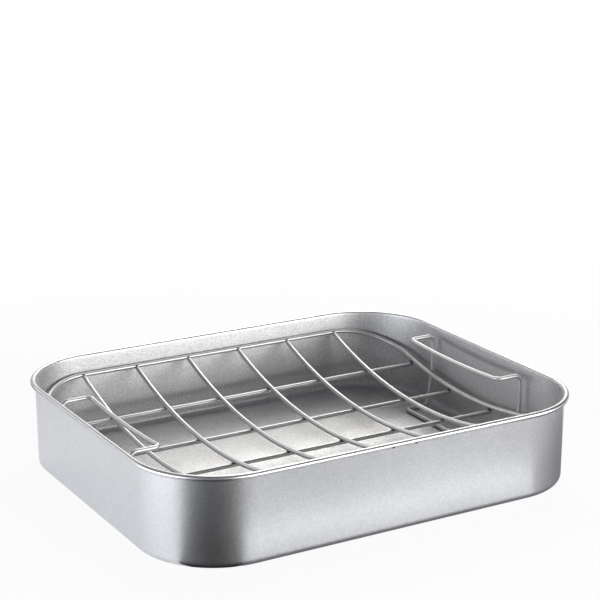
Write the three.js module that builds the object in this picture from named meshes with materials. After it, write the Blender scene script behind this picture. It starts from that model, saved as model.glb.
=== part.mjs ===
// Roasting pan with a lift-out wire rack, at real size in millimetres.
// +Z is up and X runs along the pan's length. The origin is on the table, under the middle of the pan.
import * as THREE from 'three';

// Pan, a drawn sheet steel shell whose rim is rolled outwards over a wire
const PAN_LENGTH = 400; // over the rolled rim, along X
const PAN_WIDTH = 334; // over the rolled rim, along Y
const PAN_HEIGHT = 77; // from the table to the top of the rim
const RIM_CORNER_RADIUS = 72; // plan radius of the rim's outer edge
const SHEET = 0.8; // thickness of the pan's sheet
const WALL_DRAFT = 0.4; // how far each wall leans in between the rim and the bottom bend
const BOTTOM_RADIUS = 5; // outside radius of the bend between wall and floor
const RIM_WIRE_DIAMETER = 2.6; // stiffening wire inside the rolled rim
const RIM_WIRE_CLEARANCE = 0.3; // between that wire and the rolled sheet
const RIM_ROLL_ANGLE = 295; // degrees that the sheet turns through round the rim wire

// Rack, a welded wire grid bowed across the pan, which stands on its two handles
const GRID_WIRE_DIAMETER = 4; // frame and cross wires
const LONG_WIRE_DIAMETER = 3.8; // wires along the pan, under the cross wires
const HANDLE_WIRE_DIAMETER = 3.8;
const WELD_GAP = 0.3; // between wires that are welded together
const REST_GAP = 0.3; // between the rack's feet and the pan's floor
const CROSS_WIRE_COUNT = 6;
const LONG_WIRE_COUNT = 4;
const GRID_HEIGHT = 29.2; // from the pan's floor up to the cross wires' centre lines at their lowest
const GRID_RISE = 29.8; // how much higher the frame's long sides lie than the grid's middle
const FRAME_SIDE_CLEARANCE = 3.2; // between the frame's long sides and the pan's walls
const FRAME_CORNER_RADIUS = 52; // plan radius of the frame's centre line

// Handles, each a closed wire loop with a grip at the top and a foot at the bottom
const HANDLE_END_CLEARANCE = 5.6; // between a handle's legs and the pan's end wall
const HANDLE_WIDTH = 135.4; // between the centre lines of its two legs
const GRIP_HEIGHT = 70.3; // from the pan's floor to the grip's centre line at its corners
const GRIP_SAG = 2.5; // how much lower the grip's middle hangs
const GRIP_REACH = 25; // from the legs inwards to the grip
const HEEL_CLEARANCE = 6.8; // between the legs' lower ends and the start of the pan's bottom bend
const FOOT_REACH = 23.4; // from the legs' lower ends inwards to the foot
const HANDLE_BEND_RADIUS = 5; // centre line radius of the handle's corners

// Fineness of the round forms
const PLAN_CORNER_STEPS = 10;
const BOTTOM_BEND_STEPS = 4;
const RIM_ROLL_STEPS = 10;
const RIM_WIRE_SIDES = 8;
const WIRE_SIDES = 8;
const CROSS_WIRE_STEPS = 12;
const FRAME_STEP = 26; // longest run of the frame between two sections
const GRIP_STEPS = 8;
const BEND_STEP_ANGLE = THREE.MathUtils.degToRad(30);

// Sizes that follow from the ones above
const rimWireRadius = RIM_WIRE_DIAMETER / 2;
const rollInnerRadius = rimWireRadius + RIM_WIRE_CLEARANCE;
const rollRadius = rollInnerRadius + SHEET;
const rollHeight = PAN_HEIGHT - rollRadius;
const wallInset = 2 * rollRadius - SHEET; // from the rim's outer edge in to the wall's outer face
const bendInset = wallInset + WALL_DRAFT + BOTTOM_RADIUS; // in to the middle of the bottom bend
const innerLength = PAN_LENGTH / 2 - 2 * rollRadius; // half the length inside the rim
const innerWidth = PAN_WIDTH / 2 - 2 * rollRadius;
const floorTop = SHEET;

const gridRadius = GRID_WIRE_DIAMETER / 2;
const longRadius = LONG_WIRE_DIAMETER / 2;
const handleRadius = HANDLE_WIRE_DIAMETER / 2;
const legX = innerLength - HANDLE_END_CLEARANCE - handleRadius;
const frameX = legX - handleRadius - WELD_GAP - gridRadius;
const frameY = innerWidth - FRAME_SIDE_CLEARANCE - gridRadius;
const gridLow = floorTop + GRID_HEIGHT;
const bowRadius = (frameY ** 2 + GRID_RISE ** 2) / (2 * GRID_RISE);
const bowCentre = gridLow + bowRadius;

const panSteel = { color: 0xc9cacd, roughness: 0.38, metalness: 0.9 };
const plainSteel = { color: 0xa9abad, roughness: 0.5, metalness: 1 };
const chrome = { color: 0xd8dadb, roughness: 0.2, metalness: 1 };

// A path through given points, one section at each point.
class PointPath extends THREE.Curve {
  constructor(points, closed) {
    super();
    this.points = points;
    this.closed = closed;
    this.runs = closed ? points.length : points.length - 1;
  }

  pointAt(index) {
    const count = this.points.length;
    return this.points[this.closed ? (index + count) % count : THREE.MathUtils.clamp(index, 0, count - 1)];
  }

  getPointAt(u, target = new THREE.Vector3()) {
    return target.copy(this.pointAt(Math.round(u * this.runs)));
  }

  getTangentAt(u, target = new THREE.Vector3()) {
    const index = Math.round(u * this.runs);
    const here = this.pointAt(index);
    const before = this.pointAt(index - 1).clone().sub(here).normalize();
    const after = this.pointAt(index + 1).clone().sub(here).normalize();
    return target.subVectors(after, before).normalize();
  }
}

// Points of a rounded rectangle, counter-clockwise from the middle of its +X end.
function roundedRectangle(halfLength, halfWidth, radius) {
  const points = [];
  for (let corner = 0; corner < 4; corner += 1) {
    const start = (corner * Math.PI) / 2;
    const centreX = (halfLength - radius) * (corner === 0 || corner === 3 ? 1 : -1);
    const centreY = (halfWidth - radius) * (corner < 2 ? 1 : -1);
    for (let step = 0; step <= PLAN_CORNER_STEPS; step += 1) {
      const angle = start + (step / PLAN_CORNER_STEPS) * (Math.PI / 2);
      points.push(new THREE.Vector2(centreX + radius * Math.cos(angle), centreY + radius * Math.sin(angle)));
    }
  }
  return points;
}

// The pan's plan outline, a given distance in from the rim's outer edge.
function panOutline(inset) {
  return roundedRectangle(PAN_LENGTH / 2 - inset, PAN_WIDTH / 2 - inset, RIM_CORNER_RADIUS - inset);
}

// Points of an arc in the pan's section, as an inset and a height; angle 0 points out of the pan.
function sectionArc(centreInset, centreHeight, radius, startAngle, endAngle, steps) {
  const points = [];
  for (let step = 0; step <= steps; step += 1) {
    const angle = THREE.MathUtils.degToRad(startAngle + (step / steps) * (endAngle - startAngle));
    points.push([centreInset - radius * Math.cos(angle), centreHeight + radius * Math.sin(angle)]);
  }
  return points;
}

// The sheet's section: out along the bottom bend, up the wall, round the roll and back on the inside.
function panSection() {
  const rollEnd = 180 - RIM_ROLL_ANGLE;
  return [
    ...sectionArc(bendInset, BOTTOM_RADIUS, BOTTOM_RADIUS, -90, 0, BOTTOM_BEND_STEPS),
    ...sectionArc(rollRadius, rollHeight, rollInnerRadius, 180, rollEnd, RIM_ROLL_STEPS),
    ...sectionArc(rollRadius, rollHeight, rollRadius, rollEnd, 180, RIM_ROLL_STEPS),
    ...sectionArc(bendInset, BOTTOM_RADIUS, BOTTOM_RADIUS - SHEET, 0, -90, BOTTOM_BEND_STEPS),
  ];
}

// The shell: one outline for each point of the section, skinned, and closed by the floor's two faces.
function panShellGeometry() {
  const section = panSection();
  const outlines = section.map(([inset]) => panOutline(inset));
  const count = outlines[0].length;
  const positions = [];
  outlines.forEach((outline, row) => {
    outline.forEach((point) => positions.push(point.x, point.y, section[row][1]));
  });
  const indices = [];
  for (let row = 0; row < section.length - 1; row += 1) {
    for (let i = 0; i < count; i += 1) {
      const next = (i + 1) % count;
      const a = row * count + i;
      const b = row * count + next;
      indices.push(a, b, b + count, a, b + count, a + count);
    }
  }
  const floor = THREE.ShapeUtils.triangulateShape(outlines[0], []);
  const top = (section.length - 1) * count;
  floor.forEach(([a, b, c]) => indices.push(a, c, b, top + a, top + b, top + c));
  const geometry = new THREE.BufferGeometry();
  geometry.setAttribute('position', new THREE.Float32BufferAttribute(positions, 3));
  geometry.setIndex(indices);
  geometry.computeVertexNormals();
  return geometry;
}

// A wire bent into a closed loop.
function loopGeometry(points, radius, sides) {
  const path = new PointPath(points, true);
  return new THREE.TubeGeometry(path, path.runs, radius, sides, true);
}

// A wire with two cut ends.
function wireGeometry(points, radius) {
  const path = new PointPath(points, false);
  const section = new THREE.Shape().absarc(0, 0, radius, 0, 2 * Math.PI);
  const options = { steps: path.runs, curveSegments: WIRE_SIDES / 2, extrudePath: path };
  return new THREE.ExtrudeGeometry(section, options);
}

function rimWireGeometry() {
  const points = panOutline(rollRadius).map((point) => new THREE.Vector3(point.x, point.y, rollHeight));
  return loopGeometry(points, rimWireRadius, RIM_WIRE_SIDES);
}

// Height of the bowed grid's centre line at a distance y from its middle.
function bowHeight(y) {
  return bowCentre - Math.sqrt(bowRadius ** 2 - y ** 2);
}

// Half the frame's extent in one direction, at a distance across it; its corners are round.
function frameExtent(across, halfAlong, halfAcross) {
  const past = Math.max(0, Math.abs(across) - (halfAcross - FRAME_CORNER_RADIUS));
  return halfAlong - FRAME_CORNER_RADIUS + Math.sqrt(FRAME_CORNER_RADIUS ** 2 - past ** 2);
}

// The frame: a rounded rectangle in plan that follows the bow.
function frameGeometry() {
  const corners = roundedRectangle(frameX, frameY, FRAME_CORNER_RADIUS);
  const points = [];
  corners.forEach((corner, i) => {
    const next = corners[(i + 1) % corners.length];
    const runs = Math.ceil(corner.distanceTo(next) / FRAME_STEP);
    for (let run = 0; run < runs; run += 1) {
      const plan = corner.clone().lerp(next, run / runs);
      points.push(new THREE.Vector3(plan.x, plan.y, bowHeight(plan.y)));
    }
  });
  return loopGeometry(points, gridRadius, WIRE_SIDES);
}

// A cross wire: an arc along the bow, between the inner sides of the frame.
function crossWireGeometry(x) {
  const reach = frameExtent(x, frameY, frameX) - gridRadius - WELD_GAP;
  const points = [];
  for (let step = 0; step <= CROSS_WIRE_STEPS; step += 1) {
    const y = reach * ((2 * step) / CROSS_WIRE_STEPS - 1);
    points.push(new THREE.Vector3(x, y, bowHeight(y)));
  }
  return wireGeometry(points, gridRadius);
}

// A long wire: straight, just under the cross wires and under the frame's two ends.
function longWireGeometry(y) {
  const drop = gridRadius + WELD_GAP + longRadius;
  const lean = Math.asin(y / bowRadius);
  const wireY = y + drop * Math.sin(lean);
  const wireZ = bowHeight(y) - drop * Math.cos(lean);
  const reach = frameExtent(y, frameX, frameY);
  return wireGeometry([new THREE.Vector3(-reach, wireY, wireZ), new THREE.Vector3(reach, wireY, wireZ)], longRadius);
}

// Points of a closed loop through the given corners, each turned with the handle's bend radius.
function bentLoop(corners) {
  const points = [];
  corners.forEach((corner, i) => {
    const back = corners.at(i - 1).clone().sub(corner).normalize();
    const ahead = corners[(i + 1) % corners.length].clone().sub(corner).normalize();
    const turn = Math.PI - back.angleTo(ahead);
    const steps = Math.floor(turn / BEND_STEP_ANGLE);
    if (steps === 0) {
      points.push(corner);
      return;
    }
    const middle = back.clone().add(ahead).normalize();
    const side = ahead.clone().sub(back).normalize();
    const centre = corner.clone().addScaledVector(middle, HANDLE_BEND_RADIUS / Math.cos(turn / 2));
    for (let step = 0; step <= steps; step += 1) {
      const angle = turn * (step / steps - 0.5);
      const point = centre.clone().addScaledVector(middle, -HANDLE_BEND_RADIUS * Math.cos(angle));
      points.push(point.addScaledVector(side, HANDLE_BEND_RADIUS * Math.sin(angle)));
    }
  });
  return points;
}

// One handle at the +X end: foot on the floor, legs up past the frame's outside, grip turned inwards.
function handleCorners() {
  const halfWidth = HANDLE_WIDTH / 2;
  const footHeight = floorTop + REST_GAP + handleRadius;
  const gripHeight = floorTop + GRIP_HEIGHT;
  const heelX = PAN_LENGTH / 2 - bendInset - HEEL_CLEARANCE - handleRadius;
  const legSide = (y) => [
    new THREE.Vector3(heelX - FOOT_REACH, y, footHeight),
    new THREE.Vector3(heelX, y, footHeight),
    new THREE.Vector3(legX, y, bowHeight(y)),
    new THREE.Vector3(legX, y, gripHeight),
    new THREE.Vector3(legX - GRIP_REACH, y, gripHeight),
  ];
  const grip = [];
  for (let step = 1; step < GRIP_STEPS; step += 1) {
    const share = 1 - (2 * step) / GRIP_STEPS;
    const sag = GRIP_SAG * (1 - share ** 2);
    grip.push(new THREE.Vector3(legX - GRIP_REACH, share * halfWidth, gripHeight - sag));
  }
  return [...legSide(halfWidth), ...grip, ...legSide(-halfWidth).reverse()];
}

function handleGeometry() {
  return loopGeometry(bentLoop(handleCorners()), handleRadius, WIRE_SIDES);
}

function piece(name, geometry, finish) {
  const mesh = new THREE.Mesh(geometry, new THREE.MeshStandardMaterial(finish));
  mesh.name = name;
  return mesh;
}

function buildPan() {
  const pan = new THREE.Group();
  pan.add(piece('pan_shell', panShellGeometry(), panSteel));
  pan.add(piece('rim_wire', rimWireGeometry(), plainSteel));
  return pan;
}

function buildRack() {
  const rack = new THREE.Group();
  rack.add(piece('rack_frame', frameGeometry(), chrome));
  for (let i = 1; i <= CROSS_WIRE_COUNT; i += 1) {
    const x = frameX * ((2 * i) / (CROSS_WIRE_COUNT + 1) - 1);
    rack.add(piece(`cross_wire_${i}`, crossWireGeometry(x), chrome));
  }
  for (let i = 1; i <= LONG_WIRE_COUNT; i += 1) {
    const y = frameY * ((2 * i) / (LONG_WIRE_COUNT + 1) - 1);
    rack.add(piece(`long_wire_${i}`, longWireGeometry(y), chrome));
  }
  rack.add(piece('handle_right', handleGeometry(), chrome));
  const leftHandle = piece('handle_left', handleGeometry(), chrome);
  leftHandle.rotation.z = Math.PI;
  rack.add(leftHandle);
  return rack;
}

const roastingPan = new THREE.Group();
roastingPan.add(buildPan(), buildRack());

export default roastingPan;
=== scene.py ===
"""Roasting pan with a lift-out wire rack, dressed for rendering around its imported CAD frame."""

import math

import bmesh
import bpy
from bpy.props import FloatProperty, FloatVectorProperty, IntProperty, PointerProperty
from mathutils import Matrix, Vector


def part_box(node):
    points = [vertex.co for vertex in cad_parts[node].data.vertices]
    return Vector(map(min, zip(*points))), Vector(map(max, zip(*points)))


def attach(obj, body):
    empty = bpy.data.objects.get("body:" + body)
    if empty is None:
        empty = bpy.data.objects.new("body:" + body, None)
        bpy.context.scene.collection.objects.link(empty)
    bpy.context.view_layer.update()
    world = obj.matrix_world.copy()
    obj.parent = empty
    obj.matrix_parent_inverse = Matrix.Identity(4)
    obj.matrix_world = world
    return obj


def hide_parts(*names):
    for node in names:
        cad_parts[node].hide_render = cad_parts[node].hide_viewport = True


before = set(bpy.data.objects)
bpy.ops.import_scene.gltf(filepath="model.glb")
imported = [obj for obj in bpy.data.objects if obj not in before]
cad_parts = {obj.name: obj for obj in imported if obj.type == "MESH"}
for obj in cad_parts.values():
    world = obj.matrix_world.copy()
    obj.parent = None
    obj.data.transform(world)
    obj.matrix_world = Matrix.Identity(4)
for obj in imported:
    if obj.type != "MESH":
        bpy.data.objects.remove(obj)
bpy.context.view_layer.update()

bl_info = {
    "name": "Roasting Pan with Rack",
    "version": (1, 0, 0),
    "blender": (4, 5, 0),
    "location": "3D View > Sidebar > Roaster",
    "description": "Builds a rolled-rim roasting pan and its bowed wire rack with their finishes",
    "category": "Add Mesh",
}

PAN_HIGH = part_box("pan_shell")[1]

# Fineness of the round forms
PLAN_CORNER_STEPS = 32
BOTTOM_BEND_STEPS = 8
RIM_ROLL_STEPS = 28
WIRE_SIDES = 20
CROSS_WIRE_STEPS = 48
FRAME_CORNER_STEPS = 20
FRAME_END_STEPS = 36
HANDLE_BEND_STEPS = 8
GRIP_STEPS = 32
WELD_SIDES = 16
WELD_STEPS = 6
END_STEPS = 3
SHARP_ANGLE = math.radians(40)

# Distances that only serve the meshes, in metres
MERGE_DISTANCE = 1e-6
SUPPORT = 0.0015
FLOOR_SUPPORT = 0.004
END_ROUNDING = 0.0005

# Two small near-black spots drawn into the pan's colour under the front rim's bead, and how they fade from
# core to edge
RIM_MARKS = ((-0.0095, -0.1666, 0.0733), (0.0118, -0.1666, 0.0733))
MARK_FADE = (0.0009, 0.0014)

# The pan's vertex attribute that tells its inner walls from its outer ones, and where it does so, in metres
OUTWARD = "outward"
OUTSIDE = (0.02, 0.08)
INNER_WALL = (-0.02, -0.1)

# Scales of the finishes' patterns, per metre
FLAKE_SCALE = 600.0
COAT_CLOUD_SCALE = 22.0
WIRE_MARK_SCALE = 600.0
WIRE_CLOUD_SCALE = 60.0
WELD_SCALE = 900.0
STEEL_SCALE = 500.0
FULL_CONTRAST = (0.3, 0.7)

# How much the patterns change the roughness, and the depth and strength of their bumps
FLAKE_GLOSS = 0.06
COAT_CLOUD_GLOSS = 0.05
FLAKE_BUMP = (0.00005, 0.5)
WIRE_MARK_GLOSS = 0.04
WIRE_CLOUD_GLOSS = 0.08
WIRE_BUMP = (0.00002, 0.2)
WELD_GLOSS = 0.2
WELD_BUMP = (0.00005, 0.4)
STEEL_GLOSS = 0.2

# The camera's place, worked out from the pan's outline in the photograph
IMAGE_WIDTH = 600
FOCAL_PIXELS = 1738.724
SENSOR_WIDTH = 36.0
CAMERA_AZIMUTH = math.radians(-30.151)
CAMERA_ELEVATION = math.radians(16.008)
CAMERA_DISTANCE = 1.512189
CAMERA_RIGHT = 0.002802
CAMERA_UP = 0.14409
CAMERA_SIGHT = 50.0

# The floor: how white the camera and metal see it, and where it fades to pure white away from the pan
WHITE = (1.0, 1.0, 1.0)
FLOOR_RADIUS = 6.0
FLOOR_SIDES = 64
FLOOR_WHITE = 0.9
FLOOR_MIRRORED = 0.57
FLOOR_FADE = (0.35, 0.8)

# What metal mirrors of the room, by the unit vector towards it: ways, and soft edges round and above them
BACKDROP_WAY = (0.5, 0.866, 0.0)
BACKDROP_SPREAD = (0.7, 0.97)
BACKDROP_FOOT = (0.1, 0.25)
BACKDROP_TOP = (0.45, 0.75)
WING_WAY = (-0.5, 0.866, 0.0)
WING_SPREAD = (0.8, 0.95)
WING_FOOT = (0.15, 0.25)
WING_TOP = (0.35, 0.55)
CEILING_EDGE = (0.8, 0.95)
CEILING_FRONT = (-0.1, 0.2)

# Each softbox's name, which is also its level's, with its tint, place, width and height
LAMP_AIM = (0.0, 0.0, 0.04)
LAMP_POWER = 4.0  # watts for each square metre of a lamp's face that give it a level of 1
SOFTBOXES = (
    ("key", "warm", (0.76, 1.08, 1.84), (0.85, 1.5)),
    ("low_key", "warm", (1.086, 1.295, 1.45), (0.9, 0.7)),
    ("left", "cool", (-1.99, 0.0, 0.21), (2.1, 0.36)),
    ("front", "plain", (0.995, -1.72, 0.295), (2.1, 0.47)),
)

# Each card's name, level and tint, with its corners on the floor
CARD_HEIGHT = 0.0002
CARDS = (
    ("corner_card", "shade", "dusk", ((-0.183, -0.136), (-1.337, -0.511), (0.06, -1.35), (-0.135, -0.163))),
    ("front_card", "shade", "dusk", ((-0.12, -0.31), (0.06, -1.35), (1.2, -1.2), (0.5, -0.31))),
    ("back_card", "grey", "dusk", ((-0.6, 0.36), (0.7, 0.36), (1.0, 1.4), (-0.9, 1.4))),
    ("edge_card", "grey", "dusk", ((-0.14, -0.15), (-0.14, -0.17), (0.15, -0.17), (0.15, -0.15))),
    (
        "right_card",
        "grey",
        "dusk",
        ((0.14, -0.17), (0.25, -0.31), (0.3, -0.33), (0.42, -0.2), (0.4, -0.03), (0.2, -0.08)),
    ),
    ("pale_card", "pale", "cool", ((-0.14, -0.17), (-0.135, -0.195), (0.16, -0.195), (0.14, -0.17))),
    ("bright_card", "bright", "cool", ((-0.135, -0.195), (-0.13, -0.23), (0.187, -0.23), (0.16, -0.195))),
    ("half_card", "half", "cool", ((-0.13, -0.23), (-0.12, -0.31), (0.25, -0.31), (0.187, -0.23))),
)

X_AXIS = Vector((1, 0, 0))
Y_AXIS = Vector((0, 1, 0))
Z_AXIS = Vector((0, 0, 1))


def length(name, default, description):
    """A size in metres that the sidebar shows as a length."""
    return FloatProperty(name=name, description=description, default=default, unit="LENGTH", precision=5)


def colour(name, default, description):
    """A colour that the sidebar shows as a swatch."""
    return FloatVectorProperty(
        name=name,
        description=description,
        default=default,
        subtype="COLOR",
        size=3,
        min=0,
        max=1,
    )


def share(name, default, description):
    """A number from 0 to 1 that the sidebar shows as a slider."""
    return FloatProperty(
        name=name,
        description=description,
        default=default,
        subtype="FACTOR",
        min=0,
        max=1,
    )


def level(name, default, description):
    """A light level, where 1 shows as white."""
    return FloatProperty(name=name, description=description, default=default, min=0)


class PanSizes(bpy.types.PropertyGroup):
    """Sizes of the drawn pan."""

    half_length: length("Half Length", PAN_HIGH.x, "From the middle to the rim's outer edge along X")
    half_width: length("Half Width", PAN_HIGH.y, "From the middle to the rim's outer edge along Y")
    height: length("Height", PAN_HIGH.z, "From the table to the top of the rim")
    corner_radius: length("Corner Radius", 0.072, "Plan radius of the rim's outer edge")
    sheet: length("Sheet", 0.0008, "Thickness of the steel sheet")
    draft: length("Draft", 0.0004, "How far each wall leans in towards the bottom")
    bottom_radius: length("Bottom Radius", 0.005, "Outside radius of the bend between wall and floor")
    roll_radius: length("Roll Radius", 0.0024, "Outside radius of the rolled rim")
    roll_angle: FloatProperty(
        name="Roll Angle",
        description="Angle that the sheet turns through round the rim wire",
        default=math.radians(295),
        subtype="ANGLE",
    )
    rim_wire_radius: length("Rim Wire Radius", 0.0013, "Radius of the wire inside the rolled rim")


class RackSizes(bpy.types.PropertyGroup):
    """Sizes of the welded rack."""

    grid_radius: length("Grid Wire Radius", 0.002, "Radius of the frame and the cross wires")
    long_radius: length("Long Wire Radius", 0.0019, "Radius of the wires along the pan")
    handle_radius: length("Handle Wire Radius", 0.0019, "Radius of the handles' wire")
    weld_gap: length("Weld Gap", 0.0003, "Distance that a weld bridges between two wires")
    frame_x: length("Frame X", 0.1835, "From the middle to the frame's centre line along X")
    frame_y: length("Frame Y", 0.157, "From the middle to the frame's centre line along Y")
    frame_corner: length("Frame Corner", 0.052, "Plan radius of the frame's centre line")
    grid_low: length("Grid Low", 0.03, "Height of the cross wires' centre lines at their lowest")
    grid_rise: length("Grid Rise", 0.0298, "How much higher the frame's long sides lie")
    cross_count: IntProperty(name="Cross Wires", description="Wires across the rack", default=6, min=1)
    long_count: IntProperty(name="Long Wires", description="Wires along the rack", default=4, min=1)
    leg_x: length("Leg X", 0.1877, "From the middle to a handle's legs")
    handle_half: length("Handle Half Width", 0.0677, "From the middle to a leg's centre line")
    grip_height: length("Grip Height", 0.0711, "Height of the grip's centre line at its corners")
    grip_sag: length("Grip Sag", 0.0025, "How much lower the grip's middle hangs")
    grip_reach: length("Grip Reach", 0.025, "From the legs inwards to the grip")
    heel_x: length("Heel X", 0.1819, "From the middle to the legs' lower ends")
    foot_reach: length("Foot Reach", 0.0234, "From the legs' lower ends inwards to the foot")
    foot_height: length("Foot Height", 0.003, "Height of the foot's centre line")
    handle_bend: length("Handle Bend", 0.005, "Centre line radius of the handle's corners")
    weld_radius: length("Weld Radius", 0.0014, "Radius of a weld at its waist")


class Finishes(bpy.types.PropertyGroup):
    """Colours and gloss of the finishes."""

    coat_light: colour("Coat Light", (0.83, 0.83, 0.83), "Lighter flakes of the pan's silver coat")
    coat_dark: colour("Coat Dark", (0.63, 0.63, 0.63), "Darker flakes of the pan's silver coat")
    rim_mark: colour("Rim Mark", (0.02, 0.02, 0.02), "The two small marks under the front rim")
    coat_metal: share("Coat Metal", 1.0, "How metallic the silver coat is")
    outer_grain: share("Outer Grain", 0.4, "Strength of the flakes outside the pan against those inside")
    coat_roughness: share("Coat Roughness", 0.37, "Roughness of the silver coat")
    wall_dulling: share("Wall Dulling", 0.15, "How much rougher drawing leaves the coat on the inner walls")
    wire_light: colour("Wire Light", (0.8, 0.8, 0.8), "Lighter tone of the plated wire")
    wire_dark: colour("Wire Dark", (0.7, 0.7, 0.7), "Darker tone of the plated wire")
    wire_roughness: share("Wire Roughness", 0.48, "Roughness of the plated wire")
    # The welds' near-black colours are partly their dark scale and partly painted shade for the shadowed
    # gaps where the wires cross and meet the frame
    weld_light: colour("Weld Light", (0.2, 0.19, 0.19), "Lighter scale on the welds")
    weld_dark: colour("Weld Dark", (0.07, 0.065, 0.065), "Darker scale on the welds")
    weld_metal: share("Weld Metal", 0.7, "How metallic the scale on the welds is")
    weld_roughness: share("Weld Roughness", 0.45, "Least roughness of the scale on the welds")
    steel_light: colour("Steel Light", (0.5, 0.5, 0.51), "Lighter tone of the plain wire inside the rim")
    steel_dark: colour("Steel Dark", (0.35, 0.35, 0.36), "Darker tone of the plain wire inside the rim")
    steel_roughness: share("Steel Roughness", 0.4, "Least roughness of the plain wire inside the rim")


class Studio(bpy.types.PropertyGroup):
    """Light levels and tints of the stage."""

    ambient: level("Ambient", 0.4, "Even light from all round")
    dim: level("Dim Room", 0.1, "What metal mirrors of the room beside and before the pan")
    backdrop: level("Backdrop", 1.5, "What metal mirrors of the backdrop behind the pan")
    wing: level("Backdrop Wing", 2.2, "What metal mirrors of the backdrop's wing at the back left")
    ceiling: level("Ceiling", 0.5, "What metal mirrors of the ceiling behind the pan")
    key: level("Key Softbox", 2.3, "Level of the softbox above the back of the pan")
    low_key: level("Low Key Softbox", 2.8, "Level of the lower softbox behind the pan's right end")
    left: level("Left Softbox", 9.0, "Level of the low softbox on the left")
    front: level("Front Softbox", 10.5, "Level of the low softbox at the front right")
    floor: colour("Floor", (0.92, 0.92, 0.92), "Colour of the pale floor")
    shade: level("Dark Cards", 0.01, "Level of the dark cards before the pan")
    grey: level("Grey Cards", 0.19, "Level of the grey cards close to the pan")
    half: level("Half Card", 0.32, "Level of the half-bright card before the pan")
    pale: level("Pale Card", 0.62, "Level of the pale card before the pan")
    bright: level("Bright Card", 1.0, "Level of the bright card before the pan")
    cool: colour("Cool Light", (0.91, 0.94, 1.0), "Tint of what the outer walls mirror")
    dusk: colour("Dim Tint", (0.89, 0.87, 1.0), "Tint of the dim room")
    warm: colour("Key Tint", (1.0, 0.985, 0.94), "Tint of the key softboxes")
    plain: colour("Plain Light", WHITE, "Tint of the front softbox and the backdrop")


class RoasterSettings(bpy.types.PropertyGroup):
    """All settings of the roasting pan."""

    pan: PointerProperty(type=PanSizes)
    rack: PointerProperty(type=RackSizes)
    finishes: PointerProperty(type=Finishes)
    studio: PointerProperty(type=Studio)


class Value:
    """A number in a shader, which adds Math nodes when it is used in an expression."""

    def __init__(self, shader, socket):
        self.shader = shader
        self.socket = socket

    def math(self, operation, *operands):
        return self.shader.node("ShaderNodeMath", {"operation": operation}, dict(enumerate(operands)))

    def __add__(self, other):
        return self.math("ADD", self, other)

    def __sub__(self, other):
        return self.math("SUBTRACT", self, other)

    def __rsub__(self, other):
        return self.math("SUBTRACT", other, self)

    def __mul__(self, other):
        return self.math("MULTIPLY", self, other)

    __radd__ = __add__
    __rmul__ = __mul__


class Shader:
    """The node tree of one material or world."""

    def __init__(self, block):
        block.use_nodes = True
        self.tree = block.node_tree
        self.tree.nodes.clear()

    def node(self, kind, settings=None, inputs=None, output=0):
        """Adds a node, makes its settings, then sets or links its sockets; gives one of its outputs."""
        node = self.tree.nodes.new(kind)
        for name, setting in (settings or {}).items():
            setattr(node, name, setting)
        for key, value in (inputs or {}).items():
            if isinstance(value, Value):
                self.tree.links.new(value.socket, node.inputs[key])
            else:
                node.inputs[key].default_value = value
        return Value(self, node.outputs[output]) if node.outputs else node

    def place(self):
        return self.node("ShaderNodeTexCoord", output="Object")

    def noise(self, place, scale, detail):
        return self.node("ShaderNodeTexNoise", None, {"Vector": place, "Scale": scale, "Detail": detail})

    def ramp(self, value, low, high):
        """The value stretched so that low becomes 0 and high becomes 1."""
        return self.node(
            "ShaderNodeMapRange",
            {"clamp": True},
            {"Value": value, "From Min": low, "From Max": high},
        )

    def measure(self, operation, first, second):
        """A number worked out from two vectors."""
        return self.node("ShaderNodeVectorMath", {"operation": operation}, {0: first, 1: second}, "Value")

    def mix(self, factor, first, second):
        return self.node(
            "ShaderNodeMix",
            {"data_type": "RGBA"},
            {"Factor": factor, 6: first, 7: second},
            output=2,
        )

    def bump(self, height, distance, strength):
        return self.node(
            "ShaderNodeBump", None, {"Height": height, "Distance": distance, "Strength": strength}
        )

    def ray(self, kind):
        """1 for rays of one kind, such as those from the camera, and 0 for all others."""
        return self.node("ShaderNodeLightPath", output=f"Is {kind} Ray")

    def mirrored(self):
        """1 for what metal or glass shows, and 0 for other rays."""
        return self.ray("Glossy") + self.ray("Transmission")

    def surface(self, inputs):
        """Closes the tree with one Principled surface."""
        principled = self.node("ShaderNodeBsdfPrincipled", None, inputs)
        self.node("ShaderNodeOutputMaterial", None, {"Surface": principled})


def opaque(rgb):
    """A colour with its alpha."""
    return (*rgb, 1.0)


def scaled(rgb, amount):
    """A colour at a level."""
    return opaque([part * amount for part in rgb])


def material_of(finish):
    """The material named after a finish, filled in by it when it is first asked for."""
    material = bpy.data.materials.get(finish.__name__)
    if material is None:
        material = bpy.data.materials.new(finish.__name__)
        finish(Shader(material), bpy.context.scene.roaster.finishes)
    return material


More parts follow.
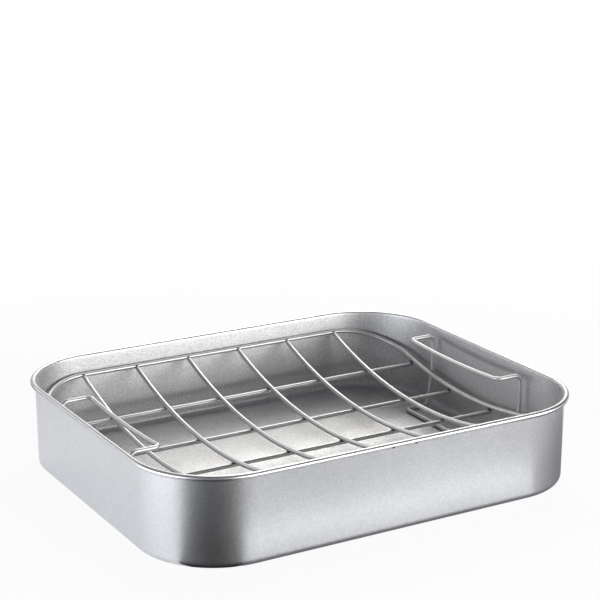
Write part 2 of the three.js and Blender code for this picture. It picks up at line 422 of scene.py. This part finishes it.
def grained_coat(shader, finishes):
    """Satin silver coat: fine metallic flakes, coarser inside the pan, with faint clouds in its gloss."""
    place = shader.place()
    outward = shader.node("ShaderNodeAttribute", {"attribute_name": OUTWARD}, output="Fac")
    inside = 1 - shader.ramp(outward, *OUTSIDE)
    inner_wall = shader.ramp(outward, *INNER_WALL)
    grains = shader.ramp(shader.noise(place, FLAKE_SCALE, 1.0), *FULL_CONTRAST)
    flakes = 0.5 + (grains - 0.5) * (finishes.outer_grain + (1 - finishes.outer_grain) * inside)
    clouds = shader.noise(place, COAT_CLOUD_SCALE, 3.0)
    gloss = finishes.coat_roughness + FLAKE_GLOSS * (flakes - 0.5) + COAT_CLOUD_GLOSS * (clouds - 0.5)
    silver = shader.mix(flakes, opaque(finishes.coat_dark), opaque(finishes.coat_light))
    # Darkens the colour to near black at two small spots under the front rim's bead
    for mark in RIM_MARKS:
        off_spot = shader.ramp(shader.measure("DISTANCE", place, mark), *MARK_FADE)
        silver = shader.mix(off_spot, opaque(finishes.rim_mark), silver)
    shader.surface(
        {
            "Base Color": silver,
            "Metallic": finishes.coat_metal,
            "Roughness": gloss + finishes.wall_dulling * inner_wall,
            "Normal": shader.bump(flakes, *FLAKE_BUMP),
        }
    )


def plated_wire(shader, finishes):
    """Bright plated wire with faint drawing marks."""
    place = shader.place()
    marks = shader.ramp(shader.noise(place, WIRE_MARK_SCALE, 3.0), *FULL_CONTRAST)
    clouds = shader.noise(place, WIRE_CLOUD_SCALE, 2.0)
    gloss = finishes.wire_roughness + WIRE_CLOUD_GLOSS * (clouds - 0.5) + WIRE_MARK_GLOSS * (marks - 0.5)
    shader.surface(
        {
            "Base Color": shader.mix(marks, opaque(finishes.wire_dark), opaque(finishes.wire_light)),
            "Metallic": 1.0,
            "Roughness": gloss,
            "Normal": shader.bump(marks, *WIRE_BUMP),
        }
    )


def weld_scale(shader, finishes):
    """Dark scale on the welds, darkened further as painted shade for the shadowed gaps where the wires
    cross and meet the frame.
    """
    marks = shader.noise(shader.place(), WELD_SCALE, 2.0)
    shader.surface(
        {
            "Base Color": shader.mix(marks, opaque(finishes.weld_dark), opaque(finishes.weld_light)),
            "Metallic": finishes.weld_metal,
            "Roughness": finishes.weld_roughness + WELD_GLOSS * marks,
            "Normal": shader.bump(marks, *WELD_BUMP),
        }
    )


def drawn_steel(shader, finishes):
    """Plain drawn steel wire, seen only in the slot under the rim."""
    marks = shader.noise(shader.place(), STEEL_SCALE, 2.0)
    shader.surface(
        {
            "Base Color": shader.mix(marks, opaque(finishes.steel_dark), opaque(finishes.steel_light)),
            "Metallic": 1.0,
            "Roughness": finishes.steel_roughness + STEEL_GLOSS * marks,
        }
    )


def extrude(bm, edges):
    """Extrudes a chain of edges and gives its new verts and edges."""
    made = bmesh.ops.extrude_edge_only(bm, edges=edges)["geom"]
    verts = [part for part in made if isinstance(part, bmesh.types.BMVert)]
    fresh = set(verts)
    chain = [part for part in made if isinstance(part, bmesh.types.BMEdge) and fresh.issuperset(part.verts)]
    return verts, chain


def extrude_by(bm, edges, steps):
    """Extrudes a chain of edges through several moves."""
    for step in steps:
        verts, edges = extrude(bm, edges)
        bmesh.ops.translate(bm, vec=step, verts=verts)


def spin(bm, geom, centre, axis, angle, steps):
    """Turns geometry about an axis and gives the geometry of the last step."""
    return bmesh.ops.spin(bm, geom=geom, cent=centre, axis=axis, angle=angle, steps=steps)["geom_last"]


def finished_piece(bm, name, finish, body, node=None):
    """Makes the mesh an object that rides on a body and stands for its CAD node."""
    mesh = bpy.data.meshes.new(name)
    bm.to_mesh(mesh)
    bm.free()
    mesh.shade_smooth()
    mesh.set_sharp_from_angle(angle=SHARP_ANGLE)
    mesh.materials.append(material_of(finish))
    piece = bpy.data.objects.new(name, mesh)
    bpy.context.scene.collection.objects.link(piece)
    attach(piece, body)
    if node:
        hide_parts(node)


def wire_piece(bm, name, node, finish=plated_wire):
    """Cleans the mesh of a wire or of welds and makes it a piece of the rack."""
    bmesh.ops.remove_doubles(bm, verts=bm.verts, dist=MERGE_DISTANCE)
    bmesh.ops.recalc_face_normals(bm, faces=bm.faces)
    finished_piece(bm, name, finish, "rack", node)


def pan_profile(bm, pan):
    """Draws the sheet's upper face at one corner, from the floor's edge to the end of the rolled rim."""
    corner_y = pan.half_width - pan.corner_radius
    wall_inset = 2 * pan.roll_radius
    bend_inset = wall_inset - pan.sheet + pan.draft + pan.bottom_radius
    bend_x = pan.half_length - bend_inset
    bend_radius = pan.bottom_radius - pan.sheet
    roll_z = pan.height - pan.roll_radius
    bend_centre = Vector((bend_x, corner_y, pan.bottom_radius))
    roll_centre = Vector((pan.half_length - pan.roll_radius, corner_y, roll_z))
    tip = bm.verts.new((bend_x, corner_y, pan.sheet))
    tip = spin(bm, [tip], bend_centre, -Y_AXIS, math.pi / 2, BOTTOM_BEND_STEPS)[0]
    wall = Vector((pan.half_length - wall_inset, corner_y, roll_z)) - tip.co
    support = wall.normalized() * SUPPORT
    for step in (support, wall - 2 * support, support):
        tip = bmesh.ops.extrude_vert_indiv(bm, verts=[tip])["verts"][0]
        tip.co += step
    spin(bm, [tip], roll_centre, Y_AXIS, pan.roll_angle, RIM_ROLL_STEPS)


def pan_body_mesh(pan):
    """The drawn pan: its profile turned round a corner, run along the sides, mirrored and thickened."""
    bm = bmesh.new()
    pan_profile(bm, pan)
    start = bm.edges[:]
    corner = Vector((pan.half_length - pan.corner_radius, pan.half_width - pan.corner_radius, 0))
    last = spin(bm, bm.verts[:] + start, corner, Z_AXIS, math.pi / 2, PLAN_CORNER_STEPS)
    end = [part for part in last if isinstance(part, bmesh.types.BMEdge)]
    extrude_by(bm, start, (-Y_AXIS * SUPPORT, -Y_AXIS * (corner.y - SUPPORT)))
    extrude_by(bm, end, (-X_AXIS * SUPPORT, -X_AXIS * (corner.x - SUPPORT)))
    for axis in "XY":
        quarter = bm.verts[:] + bm.edges[:] + bm.faces[:]
        bmesh.ops.mirror(bm, geom=quarter, axis=axis, merge_dist=MERGE_DISTANCE)
    bmesh.ops.remove_doubles(bm, verts=bm.verts, dist=MERGE_DISTANCE)
    brink = [edge for edge in bm.edges if edge.is_boundary and edge.verts[0].co.z < pan.bottom_radius]
    floor = bmesh.ops.contextual_create(bm, geom=brink)["faces"]
    bmesh.ops.inset_region(bm, faces=floor, thickness=FLOOR_SUPPORT, use_even_offset=True)
    bmesh.ops.recalc_face_normals(bm, faces=bm.faces)
    if floor[0].normal.z < 0:
        bmesh.ops.reverse_faces(bm, faces=bm.faces)
    bmesh.ops.solidify(bm, geom=bm.faces[:], thickness=pan.sheet)
    note_outward(bm)
    return bm


def note_outward(bm):
    """Notes how far each vertex lies out along its normal: above 0 outside, below 0 on the inner walls."""
    bm.normal_update()
    layer = bm.verts.layers.float.new(OUTWARD)
    for vert in bm.verts:
        vert[layer] = vert.co.dot(vert.normal)


def rounded_path(corners, radius, steps):
    """Points of a closed path through the corners, each turned with the radius."""
    points = []
    for i, corner in enumerate(corners):
        back = (corners[i - 1] - corner).normalized()
        ahead = (corners[(i + 1) % len(corners)] - corner).normalized()
        turn = math.pi - back.angle(ahead)
        middle = (back + ahead).normalized()
        centre = corner + middle * (radius / math.cos(turn / 2))
        side = (ahead - back).normalized()
        for step in range(steps + 1):
            angle = turn * (step / steps - 0.5)
            points.append(centre - middle * radius * math.cos(angle) + side * radius * math.sin(angle))
    return points


def divided(start, end, steps):
    """Points along a straight run, without its ends."""
    return [start.lerp(end, step / steps) for step in range(1, steps)]


def stations(path, closed):
    """A frame at each point of a path, with Z along the path and no twist from one to the next."""
    frames = []
    heading = Z_AXIS
    turned = Matrix.Identity(3)
    for i, point in enumerate(path):
        before = path[i - 1] if closed or i > 0 else point
        after = path[(i + 1) % len(path)] if closed or i < len(path) - 1 else point
        tangent = ((point - before).normalized() + (after - point).normalized()).normalized()
        turned = heading.rotation_difference(tangent).to_matrix() @ turned
        heading = tangent
        frames.append(Matrix.Translation(point) @ turned.to_4x4())
    return frames


def run_wire(bm, path, radius):
    """Draws a closed round wire by extruding its section from point to point."""
    frames = stations(path, closed=True)
    ring = bmesh.ops.create_circle(bm, segments=WIRE_SIDES, radius=radius, matrix=frames[0])["verts"]
    first = list({edge for vert in ring for edge in vert.link_edges})
    edges = first
    for here, there in zip(frames, frames[1:]):
        verts, edges = extrude(bm, edges)
        bmesh.ops.transform(bm, matrix=there @ here.inverted(), verts=verts)
    bmesh.ops.bridge_loops(bm, edges=first + edges)


def cap_wire(bm):
    """Closes a wire's open ends with slightly rounded caps."""
    rims = [edge for edge in bm.edges if edge.is_boundary]
    bmesh.ops.holes_fill(bm, edges=rims)
    bmesh.ops.bevel(
        bm,
        geom=rims,
        offset=END_ROUNDING,
        offset_type="OFFSET",
        segments=END_STEPS,
        profile=0.5,
        affect="EDGES",
        material=-1,
    )


def bow_radius(rack):
    """Radius of the bowed grid's centre line."""
    return (rack.frame_y**2 + rack.grid_rise**2) / (2 * rack.grid_rise)


def bow_height(rack, y):
    """Height of the bowed grid's centre line at a distance from its middle."""
    radius = bow_radius(rack)
    return rack.grid_low + radius - math.sqrt(radius**2 - y**2)


def frame_extent(rack, across, half_along, half_across):
    """Half the frame's extent in one direction, at a distance across it."""
    past = max(0, abs(across) - (half_across - rack.frame_corner))
    return half_along - rack.frame_corner + math.sqrt(rack.frame_corner**2 - past**2)


def evenly(half, count):
    """Places of a number of wires, evenly spaced between two sides."""
    return [half * (2 * i / (count + 1) - 1) for i in range(1, count + 1)]


def cross_reach(rack, x):
    """Half the length of a cross wire, which ends at the frame's inner side."""
    return frame_extent(rack, x, rack.frame_y, rack.frame_x) - rack.grid_radius - rack.weld_gap


def long_wire_centre(rack, y):
    """Where a long wire lies, just under the bow at y, and the way up from it to the cross wires."""
    lean = math.asin(y / bow_radius(rack))
    up = Vector((0, -math.sin(lean), math.cos(lean)))
    drop = rack.grid_radius + rack.weld_gap + rack.long_radius
    return Vector((0, y, bow_height(rack, y))) - up * drop, up


def handle_path(rack):
    """The centre line of the handle at the +X end."""

    def side(y):
        return [
            Vector((rack.heel_x - rack.foot_reach, y, rack.foot_height)),
            Vector((rack.heel_x, y, rack.foot_height)),
            Vector((rack.leg_x, y, bow_height(rack, y))),
            Vector((rack.leg_x, y, rack.grip_height)),
            Vector((rack.leg_x - rack.grip_reach, y, rack.grip_height)),
        ]

    foot_to_grip = side(rack.handle_half)
    corners = foot_to_grip + side(-rack.handle_half)[::-1]
    path = rounded_path(corners, rack.handle_bend, HANDLE_BEND_STEPS)
    grip_start = len(foot_to_grip) * (HANDLE_BEND_STEPS + 1)
    grip = divided(path[grip_start - 1], path[grip_start], GRIP_STEPS)
    path[grip_start:grip_start] = grip
    for point in path:
        if point.x < rack.leg_x - rack.grip_reach + MERGE_DISTANCE and point.z > rack.grid_low:
            point.z -= rack.grip_sag * (1 - (point.y / rack.handle_half) ** 2)
    return path


def weld_collar(bm, rack):
    """One weld at the origin: a waisted collar about Z that reaches a little into both wires."""
    waist = rack.weld_radius
    flare = waist / 2
    reach = rack.weld_gap / 2 + flare
    hollow = (reach**2 + flare**2) / (2 * flare)
    centre = Vector((waist + hollow, 0, 0))
    tip = bm.verts.new((waist + flare, 0, -reach))
    spin(bm, [tip], centre, Y_AXIS, 2 * math.asin(reach / hollow), WELD_STEPS)
    bmesh.ops.spin(
        bm,
        geom=bm.verts[:] + bm.edges[:],
        cent=Vector(),
        axis=Z_AXIS,
        angle=2 * math.pi,
        steps=WELD_SIDES,
        use_merge=True,
    )
    bmesh.ops.remove_doubles(bm, verts=bm.verts, dist=MERGE_DISTANCE)
    bmesh.ops.holes_fill(bm, edges=[edge for edge in bm.edges if edge.is_boundary])
    return bm.verts[:] + bm.edges[:] + bm.faces[:]


def welds_piece(name, rack, gaps):
    """Copies the weld into each gap between two wires and makes the welds one piece."""
    bm = bmesh.new()
    collar = weld_collar(bm, rack)
    for start, end in gaps:
        copied = bmesh.ops.duplicate(bm, geom=collar)["geom"]
        verts = [part for part in copied if isinstance(part, bmesh.types.BMVert)]
        turned = Z_AXIS.rotation_difference(end - start).to_matrix().to_4x4()
        bmesh.ops.transform(bm, matrix=Matrix.Translation((start + end) / 2) @ turned, verts=verts)
    pattern = [part for part in collar if isinstance(part, bmesh.types.BMVert)]
    bmesh.ops.delete(bm, geom=pattern, context="VERTS")
    wire_piece(bm, name, None, weld_scale)


def crossing_gaps(rack):
    """The gaps between the cross wires and the long wires under them."""
    gaps = []
    for y in evenly(rack.frame_y, rack.long_count):
        centre, up = long_wire_centre(rack, y)
        for x in evenly(rack.frame_x, rack.cross_count):
            foot = centre + up * rack.long_radius + X_AXIS * x
            gaps.append((foot, foot + up * rack.weld_gap))
    return gaps


def frame_gaps(rack):
    """The gaps between the frame and the wires that end at it, and between it and the handles' legs."""
    gaps = []
    for sign in (-1, 1):
        for x in evenly(rack.frame_x, rack.cross_count):
            near = cross_reach(rack, x)
            far = near + rack.weld_gap
            tip = Vector((x, sign * near, bow_height(rack, near)))
            gaps.append((tip, Vector((x, sign * far, bow_height(rack, far)))))
        for y in evenly(rack.frame_y, rack.long_count):
            centre, up = long_wire_centre(rack, y)
            x = frame_extent(rack, y, rack.frame_x, rack.frame_y) - rack.weld_radius
            foot = centre + up * rack.long_radius + X_AXIS * sign * x
            gaps.append((foot, foot + up * rack.weld_gap))
        for y in (-rack.handle_half, rack.handle_half):
            foot = Vector((sign * (rack.frame_x + rack.grid_radius), y, bow_height(rack, y)))
            gaps.append((foot, foot + X_AXIS * sign * rack.weld_gap))
    return gaps


class ROASTER_OT_stage(bpy.types.Operator):
    """Sets up the camera, the pale floor and the studio light"""

    bl_idname = "roaster.stage"
    bl_label = "Stage"
    bl_options = {"REGISTER", "UNDO"}

    def execute(self, context):
        scene = context.scene
        studio = scene.roaster.studio
        scene.view_settings.view_transform = "Standard"
        add_camera(scene)
        add_world(scene, studio)
        add_floor(scene, studio)
        for name, tint, place, size in SOFTBOXES:
            add_softbox(scene, f"{name}_softbox", place, size, getattr(studio, name), getattr(studio, tint))
        for name, light, tint, corners in CARDS:
            add_card(scene, name, corners, scaled(getattr(studio, tint), getattr(studio, light)))
        return {"FINISHED"}


def add_camera(scene):
    """A camera at the photograph's viewing angle."""
    data = bpy.data.cameras.new("camera")
    data.sensor_width = SENSOR_WIDTH
    data.lens = SENSOR_WIDTH * FOCAL_PIXELS / IMAGE_WIDTH
    data.clip_end = CAMERA_SIGHT
    camera = bpy.data.objects.new("camera", data)
    scene.collection.objects.link(camera)
    around = Matrix.Rotation(CAMERA_AZIMUTH, 4, "Z")
    down = Matrix.Rotation(math.pi / 2 - CAMERA_ELEVATION, 4, "X")
    camera.matrix_world = around @ down @ Matrix.Translation((CAMERA_RIGHT, CAMERA_UP, CAMERA_DISTANCE))
    scene.camera = camera


def band(shader, height, foot, top):
    """1 between two heights and 0 above and below them, with soft edges."""
    return shader.ramp(height, *foot) - shader.ramp(height, *top)


def add_world(scene, studio):
    """A room with a white backdrop for metal to mirror, which the camera sees as white all round."""
    world = bpy.data.worlds.new("studio")
    world.cycles.sampling_method = "NONE"
    scene.world = world
    shader = Shader(world)
    way = shader.node("ShaderNodeTexCoord", output="Generated")
    height = shader.node("ShaderNodeSeparateXYZ", None, {0: way}, "Z")
    behind = shader.measure("DOT_PRODUCT", way, BACKDROP_WAY)
    beside = shader.measure("DOT_PRODUCT", way, WING_WAY)
    backdrop = shader.ramp(behind, *BACKDROP_SPREAD) * band(shader, height, BACKDROP_FOOT, BACKDROP_TOP)
    wing = shader.ramp(beside, *WING_SPREAD) * band(shader, height, WING_FOOT, WING_TOP)
    ceiling = shader.ramp(height, *CEILING_EDGE) * shader.ramp(behind, *CEILING_FRONT)
    room = scaled(studio.dusk, studio.dim)
    room = shader.mix(wing, room, scaled(studio.plain, studio.wing))
    room = shader.mix(backdrop, room, scaled(studio.plain, studio.backdrop))
    room = shader.mix(ceiling, room, scaled(studio.plain, studio.ceiling))
    lit = shader.mix(shader.mirrored(), scaled(WHITE, studio.ambient), room)
    shown = shader.mix(shader.ray("Camera"), lit, opaque(WHITE))
    light = shader.node("ShaderNodeBackground", None, {"Color": shown, "Strength": 1.0})
    shader.node("ShaderNodeOutputWorld", None, {"Surface": light})


def stage_object(scene, bm, name, material):
    """Makes the mesh an object of the stage."""
    mesh = bpy.data.meshes.new(name)
    bm.to_mesh(mesh)
    bm.free()
    mesh.materials.append(material)
    piece = bpy.data.objects.new(name, mesh)
    scene.collection.objects.link(piece)
    return piece


def add_floor(scene, studio):
    """A plain pale floor under the pan, which shows white but keeps a soft shadow."""
    bm = bmesh.new()
    bmesh.ops.create_circle(bm, cap_ends=True, segments=FLOOR_SIDES, radius=FLOOR_RADIUS)
    material = bpy.data.materials.new("pale_floor")
    material.cycles.emission_sampling = "NONE"
    shader = Shader(material)
    lit = shader.node("ShaderNodeBsdfDiffuse", None, {"Color": opaque(studio.floor)})
    mirrored = shader.mirrored()
    glow = shader.mix(mirrored, opaque(WHITE), opaque(studio.cool))
    white = shader.node("ShaderNodeEmission", None, {"Color": glow, "Strength": 1.0})
    far = shader.ramp(shader.measure("DISTANCE", shader.place(), (0, 0, 0)), *FLOOR_FADE)
    seen = FLOOR_WHITE + (1 - FLOOR_WHITE) * far
    lift = seen * shader.ray("Camera") + FLOOR_MIRRORED * mirrored
    mixed = shader.node("ShaderNodeMixShader", None, {0: lift, 1: lit, 2: white})
    shader.node("ShaderNodeOutputMaterial", None, {"Surface": mixed})
    stage_object(scene, bm, "floor", material)


def add_softbox(scene, name, place, size, strength, tint):
    """An area lamp of the given level, turned towards the pan."""
    width, height = size
    lamp = bpy.data.lights.new(name, "AREA")
    lamp.color = tint
    lamp.shape = "RECTANGLE"
    lamp.size = width
    lamp.size_y = height
    lamp.energy = LAMP_POWER * strength * width * height
    softbox = bpy.data.objects.new(name, lamp)
    softbox.location = place
    softbox.rotation_euler = (Vector(LAMP_AIM) - Vector(place)).to_track_quat("-Z", "Y").to_euler()
    softbox.visible_camera = False
    scene.collection.objects.link(softbox)


def add_card(scene, name, corners, glow):
    """A card of the given glow lying on the floor beside the metal, which nothing but reflections shows."""
    bm = bmesh.new()
    bmesh.ops.contextual_create(bm, geom=[bm.verts.new((x, y, CARD_HEIGHT)) for x, y in corners])
    material = bpy.data.materials.new(name)
    material.cycles.emission_sampling = "NONE"
    shader = Shader(material)
    shown = shader.node("ShaderNodeEmission", None, {"Color": glow, "Strength": 1.0})
    shader.node("ShaderNodeOutputMaterial", None, {"Surface": shown})
    card = stage_object(scene, bm, name, material)
    card.visible_camera = False
    card.visible_diffuse = False
    card.visible_transmission = False
    card.visible_volume_scatter = False
    card.visible_shadow = False


class ROASTER_OT_pan(bpy.types.Operator):
    """Builds the drawn pan with its rolled rim"""

    bl_idname = "roaster.pan"
    bl_label = "Pan"
    bl_options = {"REGISTER", "UNDO"}

    def execute(self, context):
        bm = pan_body_mesh(context.scene.roaster.pan)
        finished_piece(bm, "pan_body", grained_coat, "pan", "pan_shell")
        return {"FINISHED"}


class ROASTER_OT_rim_wire(bpy.types.Operator):
    """Builds the wire inside the rolled rim"""

    bl_idname = "roaster.rim_wire"
    bl_label = "Rim Wire"
    bl_options = {"REGISTER", "UNDO"}

    def execute(self, context):
        pan = context.scene.roaster.pan
        x = pan.half_length - pan.roll_radius
        y = pan.half_width - pan.roll_radius
        z = pan.height - pan.roll_radius
        corners = [Vector((x, y, z)), Vector((-x, y, z)), Vector((-x, -y, z)), Vector((x, -y, z))]
        path = rounded_path(corners, pan.corner_radius - pan.roll_radius, PLAN_CORNER_STEPS)
        bm = bmesh.new()
        run_wire(bm, path, pan.rim_wire_radius)
        bmesh.ops.recalc_face_normals(bm, faces=bm.faces)
        finished_piece(bm, "rim_core", drawn_steel, "pan", "rim_wire")
        return {"FINISHED"}


class ROASTER_OT_frame(bpy.types.Operator):
    """Builds the closed wire round the rack"""

    bl_idname = "roaster.frame"
    bl_label = "Rack Frame"
    bl_options = {"REGISTER", "UNDO"}

    def execute(self, context):
        rack = context.scene.roaster.rack
        x, y = rack.frame_x, rack.frame_y
        corners = [Vector((x, y, 0)), Vector((-x, y, 0)), Vector((-x, -y, 0)), Vector((x, -y, 0))]
        plan = rounded_path(corners, rack.frame_corner, FRAME_CORNER_STEPS)
        corner_points = FRAME_CORNER_STEPS + 1
        path = []
        for i in range(4):
            arc = plan[i * corner_points : (i + 1) * corner_points]
            after = plan[((i + 1) * corner_points) % len(plan)]
            path += arc + divided(arc[-1], after, FRAME_END_STEPS)
        for point in path:
            point.z = bow_height(rack, point.y)
        bm = bmesh.new()
        run_wire(bm, path, rack.grid_radius)
        wire_piece(bm, "frame_wire", "rack_frame")
        return {"FINISHED"}


class ROASTER_OT_cross_wires(bpy.types.Operator):
    """Builds the bowed wires across the rack"""

    bl_idname = "roaster.cross_wires"
    bl_label = "Cross Wires"
    bl_options = {"REGISTER", "UNDO"}

    def execute(self, context):
        rack = context.scene.roaster.rack
        radius = bow_radius(rack)
        for number, x in enumerate(evenly(rack.frame_x, rack.cross_count), 1):
            half = math.asin(cross_reach(rack, x) / radius)
            centre = Vector((x, 0, rack.grid_low + radius))
            lowest = Matrix.Translation((x, 0, rack.grid_low)) @ Matrix.Rotation(math.pi / 2, 4, "X")
            back = Matrix.Translation(centre) @ Matrix.Rotation(-half, 4, "X") @ Matrix.Translation(-centre)
            bm = bmesh.new()
            ring = bmesh.ops.create_circle(
                bm, segments=WIRE_SIDES, radius=rack.grid_radius, matrix=back @ lowest
            )["verts"]
            edges = list({edge for vert in ring for edge in vert.link_edges})
            spin(bm, ring + edges, centre, X_AXIS, 2 * half, CROSS_WIRE_STEPS)
            cap_wire(bm)
            wire_piece(bm, f"bowed_wire_{number}", f"cross_wire_{number}")
        return {"FINISHED"}


class ROASTER_OT_long_wires(bpy.types.Operator):
    """Builds the straight wires along the rack"""

    bl_idname = "roaster.long_wires"
    bl_label = "Long Wires"
    bl_options = {"REGISTER", "UNDO"}

    def execute(self, context):
        rack = context.scene.roaster.rack
        for number, y in enumerate(evenly(rack.frame_y, rack.long_count), 1):
            centre = long_wire_centre(rack, y)[0]
            reach = frame_extent(rack, y, rack.frame_x, rack.frame_y)
            bm = bmesh.new()
            start = Matrix.Translation(centre - X_AXIS * reach) @ Matrix.Rotation(math.pi / 2, 4, "Y")
            ring = bmesh.ops.create_circle(bm, segments=WIRE_SIDES, radius=rack.long_radius, matrix=start)
            edges = list({edge for vert in ring["verts"] for edge in vert.link_edges})
            extrude_by(bm, edges, (X_AXIS * 2 * reach,))
            cap_wire(bm)
            wire_piece(bm, f"straight_wire_{number}", f"long_wire_{number}")
        return {"FINISHED"}


class ROASTER_OT_handles(bpy.types.Operator):
    """Builds the two wire handles, which are also the rack's feet"""

    bl_idname = "roaster.handles"
    bl_label = "Handles"
    bl_options = {"REGISTER", "UNDO"}

    def execute(self, context):
        rack = context.scene.roaster.rack
        for side, turn in (("right", 0), ("left", math.pi)):
            bm = bmesh.new()
            run_wire(bm, handle_path(rack), rack.handle_radius)
            bmesh.ops.rotate(bm, verts=bm.verts, matrix=Matrix.Rotation(turn, 3, "Z"))
            wire_piece(bm, f"grip_{side}", f"handle_{side}")
        return {"FINISHED"}


class ROASTER_OT_welds(bpy.types.Operator):
    """Builds the welds that join the rack's wires"""

    bl_idname = "roaster.welds"
    bl_label = "Welds"
    bl_options = {"REGISTER", "UNDO"}

    def execute(self, context):
        rack = context.scene.roaster.rack
        welds_piece("crossing_welds", rack, crossing_gaps(rack))
        welds_piece("frame_welds", rack, frame_gaps(rack))
        return {"FINISHED"}


OPERATORS = (
    ROASTER_OT_stage,
    ROASTER_OT_pan,
    ROASTER_OT_rim_wire,
    ROASTER_OT_frame,
    ROASTER_OT_cross_wires,
    ROASTER_OT_long_wires,
    ROASTER_OT_handles,
    ROASTER_OT_welds,
)


class ROASTER_PT_build(bpy.types.Panel):
    """Lists the steps that build the roasting pan and its sizes"""

    bl_label = "Roasting Pan with Rack"
    bl_space_type = "VIEW_3D"
    bl_region_type = "UI"
    bl_category = "Roaster"

    def draw(self, context):
        for operator in OPERATORS:
            self.layout.operator(operator.bl_idname)
        settings = context.scene.roaster
        for group in (settings.pan, settings.rack, settings.finishes, settings.studio):
            box = self.layout.box()
            for name in group.__annotations__:
                box.prop(group, name)


CLASSES = (PanSizes, RackSizes, Finishes, Studio, RoasterSettings, *OPERATORS, ROASTER_PT_build)


def register():
    for cls in CLASSES:
        bpy.utils.register_class(cls)
    bpy.types.Scene.roaster = PointerProperty(type=RoasterSettings)


def unregister():
    del bpy.types.Scene.roaster
    for cls in reversed(CLASSES):
        bpy.utils.unregister_class(cls)


def main():
    """Builds everything."""
    register()
    bpy.ops.roaster.stage()
    bpy.ops.roaster.pan()
    bpy.ops.roaster.rim_wire()
    bpy.ops.roaster.frame()
    bpy.ops.roaster.cross_wires()
    bpy.ops.roaster.long_wires()
    bpy.ops.roaster.handles()
    bpy.ops.roaster.welds()


if __name__ == "__main__":
    main()
